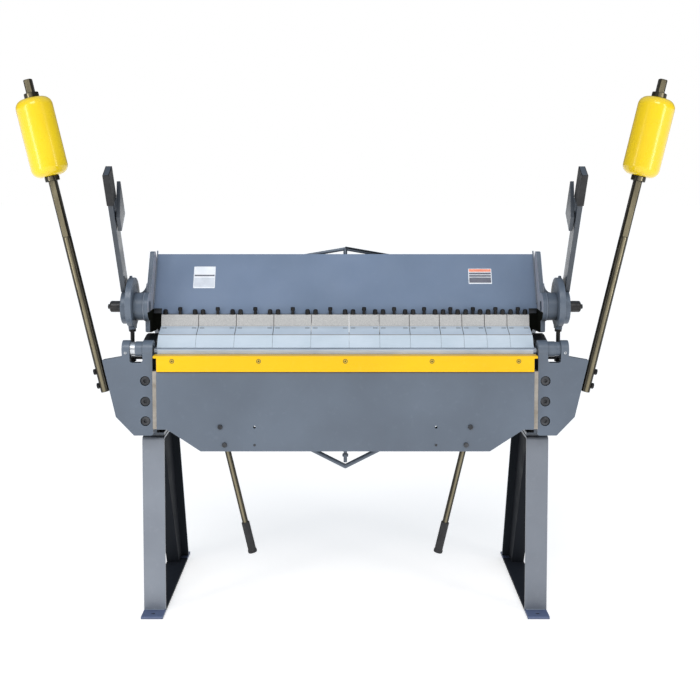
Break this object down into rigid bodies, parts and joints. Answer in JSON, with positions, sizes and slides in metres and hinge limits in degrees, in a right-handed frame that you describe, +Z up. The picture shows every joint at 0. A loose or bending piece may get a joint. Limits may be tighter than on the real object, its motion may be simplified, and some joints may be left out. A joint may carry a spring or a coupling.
{
  "type": "sheet metal brake",
  "caption": "Floor-standing box-and-pan sheet metal brake: swinging bending leaf, lifting clamp beam with separate fingers, eccentric clamp handles, counterweights, twin stands.",
  "frame": {"origin": "floor level, in the middle of the four anchor holes of the stand base plates", "axes": "+Z up, +Y from the operator towards the back of the machine, +X to the operator's right along the bend line"},
  "size_m": [2.1264, 0.7944, 1.7755],
  "materials": {
    "frame_paint": "semi-gloss blue-grey enamel",
    "machined_steel": "ground",
    "raw_steel": "milled, bare",
    "zinc": "zinc plated",
    "black_oxide": "black oxide",
    "dark_rod": "blackened, oiled",
    "yellow_paint": "gloss yellow enamel",
    "grip_rubber": "satin moulded rubber"
  },
  "bodies": {
    "frame": {"base_plates": "frame_paint", "front_legs": "frame_paint", "stand_tops": "frame_paint", "rear_legs": "frame_paint", "leg_webs": "frame_paint", "frame_bolts": "black_oxide", "bed_plate": "machined_steel", "bed_web": "frame_paint", "side_frames": "frame_paint", "hinge_blocks": "frame_paint", "hinge_collars": "zinc", "beam_pivot_pins": "zinc", "link_anchors": "frame_paint", "bed_truss_rod": "frame_paint", "bed_truss_post": "frame_paint"},
    "leaf": {"bending_leaf": "frame_paint", "leaf_nose_bar": "machined_steel", "angle_bar": "yellow_paint", "angle_bar_screws": "black_oxide", "left_hinge_bracket": "frame_paint", "right_hinge_bracket": "frame_paint", "hinge_pins": "zinc", "bracket_seats": "raw_steel", "bracket_bolts": "black_oxide", "counterweight_rods": "dark_rod", "counterweights": "yellow_paint", "counterweight_collars": "dark_rod", "counterweight_bolts": "black_oxide", "leaf_handles": "dark_rod", "leaf_grips": "grip_rubber", "leaf_handle_bolts": "black_oxide"},
    "beam": {"beam_panel": "frame_paint", "beam_floor": "frame_paint", "beam_ends": "frame_paint", "beam_truss_rod": "frame_paint", "beam_truss_post": "frame_paint", "finger_thumb_screws": "black_oxide", "finger_end_bolts": "black_oxide", "finger_01": "machined_steel", "finger_02": "machined_steel", "finger_03": "machined_steel", "finger_04": "machined_steel", "finger_05": "machined_steel", "finger_06": "machined_steel", "finger_07": "machined_steel", "finger_08": "machined_steel", "finger_09": "machined_steel", "finger_10": "machined_steel", "finger_11": "machined_steel", "finger_12": "machined_steel"},
    "left_clamp": {"left_eccentric_shaft": "frame_paint", "left_clamp_handle": "frame_paint", "left_handle_grip": "grip_rubber"},
    "left_link": {"left_strap": "frame_paint", "left_link_rod": "black_oxide"},
    "right_clamp": {"right_eccentric_shaft": "frame_paint", "right_clamp_handle": "frame_paint", "right_handle_grip": "grip_rubber"},
    "right_link": {"right_strap": "frame_paint", "right_link_rod": "black_oxide"}
  },
  "joints": [
    {"name": "leaf_swing", "type": "hinge", "parent": "frame", "child": "leaf", "pos_m": [0, -0.279, 0.895], "axis": [-1, 0, 0], "range_deg": [0, 135]},
    {"name": "beam_lift", "type": "hinge", "parent": "frame", "child": "beam", "pos_m": [0, 0.06, 0.9], "axis": [-1, 0, 0], "range_deg": [0, 2.75]},
    {"name": "left_clamp_turn", "type": "hinge", "parent": "beam", "child": "left_clamp", "pos_m": [-0.729, -0.209, 1.027], "axis": [-1, 0, 0], "range_deg": [0, 90]},
    {"name": "left_link_swing", "type": "hinge", "parent": "left_clamp", "child": "left_link", "pos_m": [-0.712, -0.209, 1.041], "axis": [-1, 0, 0], "range_deg": [-85.42, 0]},
    {"name": "right_clamp_turn", "type": "hinge", "parent": "beam", "child": "right_clamp", "pos_m": [0.729, -0.209, 1.027], "axis": [-1, 0, 0], "range_deg": [0, 90]},
    {"name": "right_link_swing", "type": "hinge", "parent": "right_clamp", "child": "right_link", "pos_m": [0.712, -0.209, 1.041], "axis": [-1, 0, 0], "range_deg": [-85.42, 0]}
  ],
  "couplings": [
    {"joint": "beam_lift", "follows": "left_clamp_turn", "ratio": 0.03},
    {"joint": "right_clamp_turn", "follows": "left_clamp_turn", "ratio": 1},
    {"joint": "left_link_swing", "follows": "left_clamp_turn", "ratio": -0.948},
    {"joint": "right_link_swing", "follows": "left_clamp_turn", "ratio": -0.948}
  ]
}
